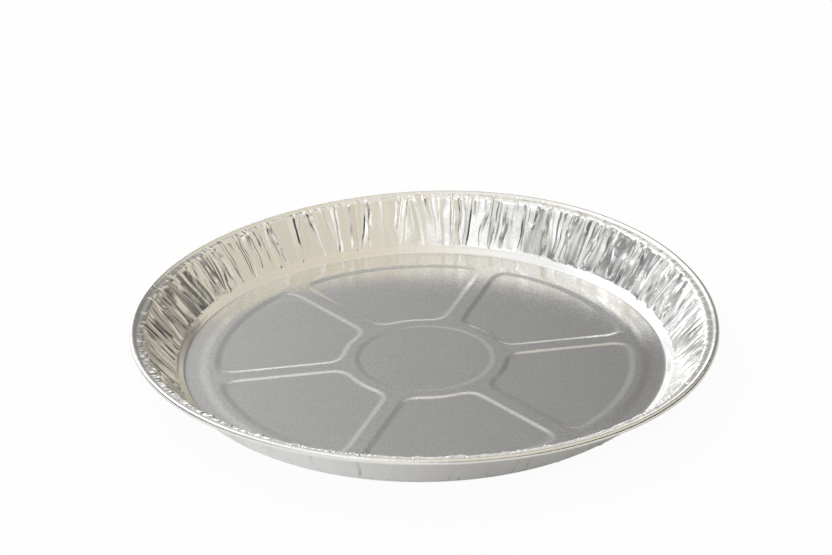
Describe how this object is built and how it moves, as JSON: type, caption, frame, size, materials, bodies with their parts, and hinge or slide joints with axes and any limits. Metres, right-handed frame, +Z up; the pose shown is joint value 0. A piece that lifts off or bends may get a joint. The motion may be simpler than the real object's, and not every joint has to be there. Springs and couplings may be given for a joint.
{
  "type": "foil pie tin",
  "caption": "Shallow round foil pie tin with a sloping pleated wall, a rolled rim and a flat floor pressed with a wheel of low raised ribs.",
  "frame": {"origin": "on the table under the middle of the tin, at the middle of the lowest face of its bounding box", "axes": "+Z up along the tin's axis, +X to the right and +Y to the back as the picture shows it"},
  "size_m": [0.2798, 0.2798, 0.026],
  "materials": {
    "foil": "bright rolled foil"
  },
  "bodies": {
    "root": {"pie_tin": "foil"}
  },
  "joints": []
}
